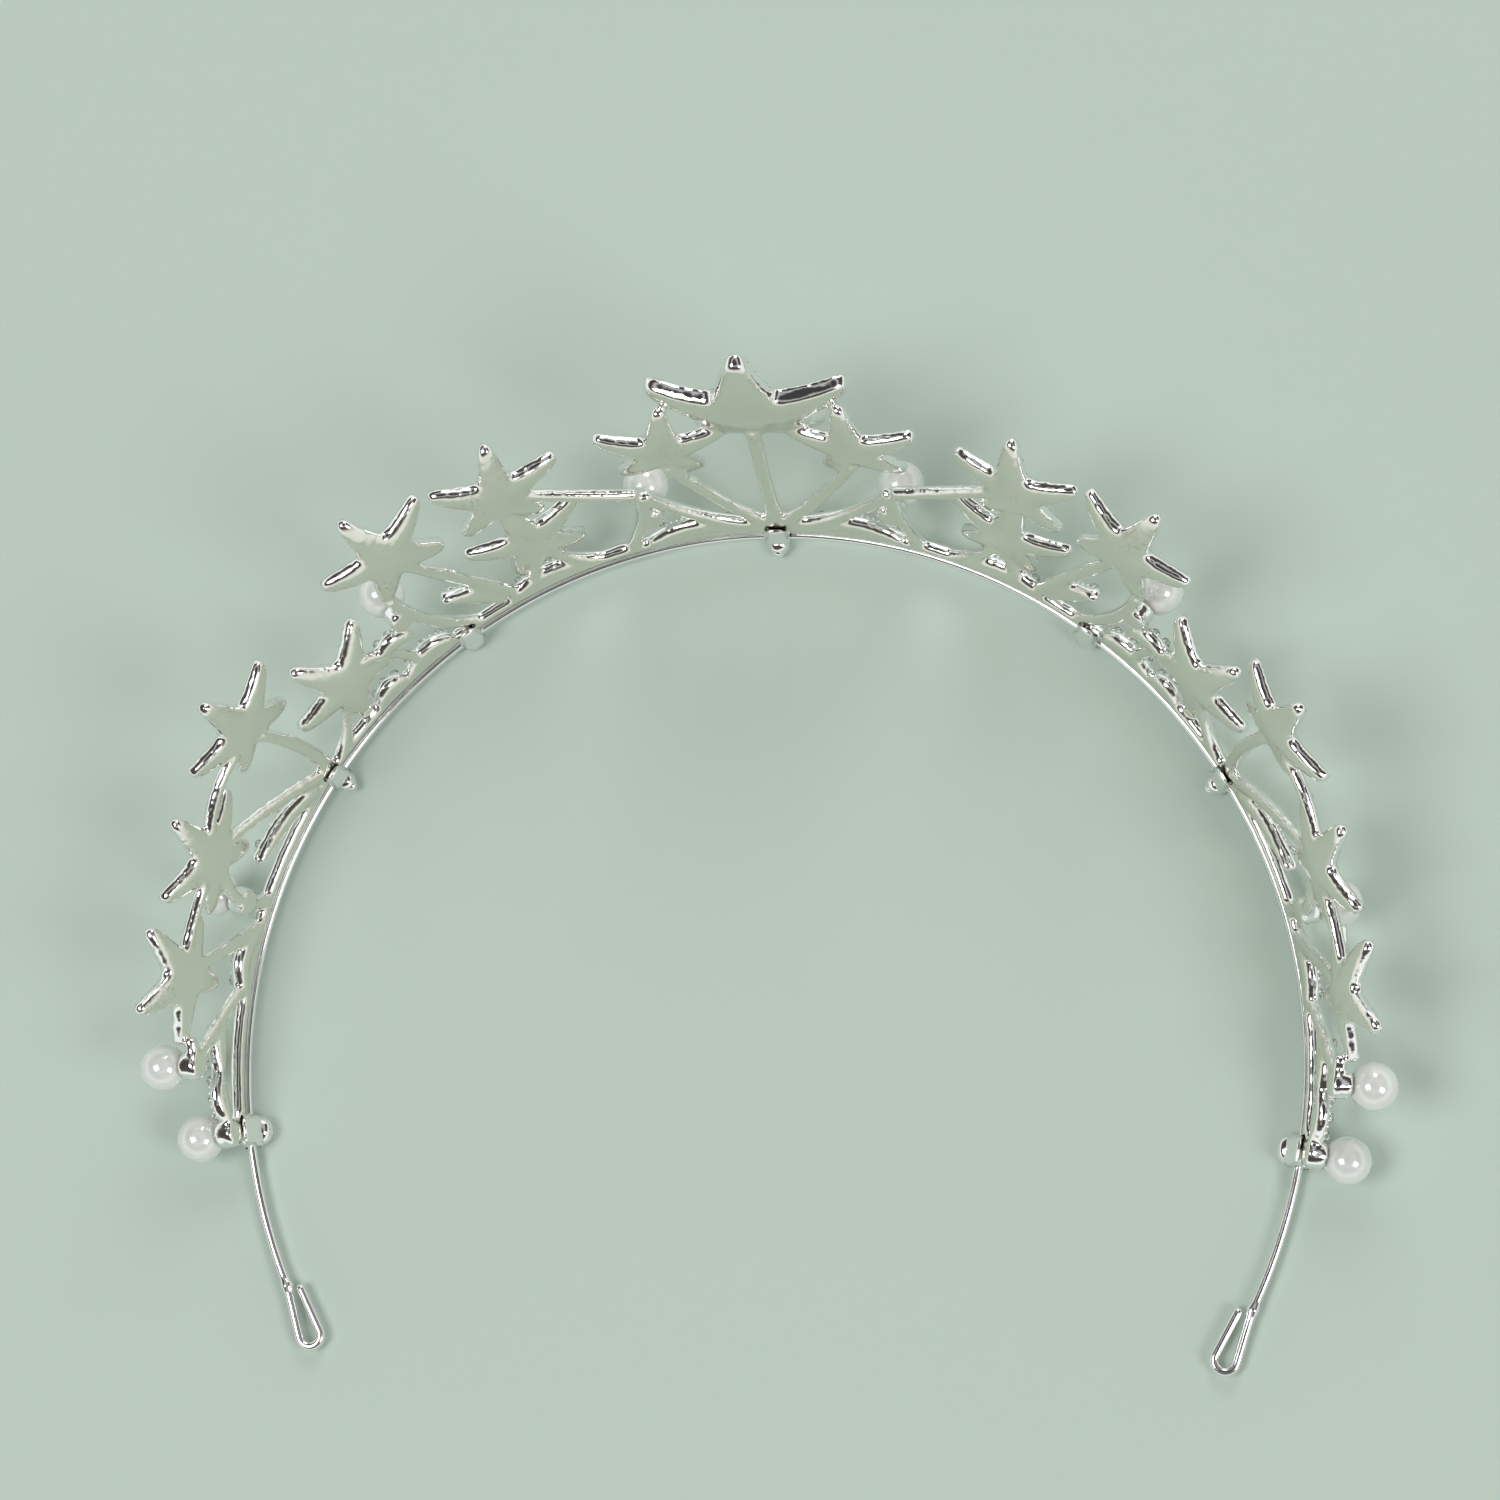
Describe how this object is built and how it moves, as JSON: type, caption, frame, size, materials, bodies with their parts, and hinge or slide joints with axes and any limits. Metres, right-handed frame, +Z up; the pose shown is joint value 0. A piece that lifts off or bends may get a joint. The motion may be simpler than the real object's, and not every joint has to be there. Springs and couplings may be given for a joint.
{
  "type": "bridal tiara",
  "caption": "Bridal tiara: an arched headband wire with end loops carries flared silver-plated star and leaf castings with pearls and small crystals.",
  "frame": {"origin": "middle of the footprint, on the plane of the clips' flat feet", "axes": "+Z up, out of the ring of the wire; +Y to the front, where the large star stands; +X to the right seen from behind"},
  "size_m": [0.1574, 0.119, 0.0436],
  "materials": {
    "silver_plate": "polished silver plate on cast alloy",
    "clip_strip": "polished silver plate on folded strip",
    "wire": "bright drawn wire",
    "pearl": "pearl lustre",
    "crystal": "clear faceted"
  },
  "bodies": {
    "root": {"headband_wire": "wire", "centre_casting": "silver_plate", "left_casting": "silver_plate", "right_casting": "silver_plate", "clip_centre": "clip_strip", "clip_upper_left": "clip_strip", "clip_upper_right": "clip_strip", "clip_middle_left": "clip_strip", "clip_middle_right": "clip_strip", "clip_end_left": "clip_strip", "clip_end_right": "clip_strip", "pearl_crown_left": "pearl", "pearl_temple_left": "pearl", "pearl_side_left": "pearl", "pearl_tip_left": "pearl", "pearl_end_left": "pearl", "pearl_crown_right": "pearl", "pearl_temple_right": "pearl", "pearl_side_right": "pearl", "pearl_tip_right": "pearl", "pearl_end_right": "pearl", "crystals_star_centre": "crystal", "crystals_star_crown_left": "crystal", "crystals_star_top_left": "crystal", "crystals_star_middle_left": "crystal", "crystals_star_outer_left": "crystal", "crystals_star_temple_left": "crystal", "crystals_star_side_left": "crystal", "crystals_star_low_left": "crystal", "crystals_star_end_left": "crystal", "crystals_star_crown_right": "crystal", "crystals_star_top_right": "crystal", "crystals_star_middle_right": "crystal", "crystals_star_outer_right": "crystal", "crystals_star_temple_right": "crystal", "crystals_star_side_right": "crystal", "crystals_star_low_right": "crystal", "crystals_star_end_right": "crystal", "crystals_leaves_centre": "crystal", "crystals_leaves_left": "crystal", "crystals_leaves_right": "crystal"}
  },
  "joints": []
}
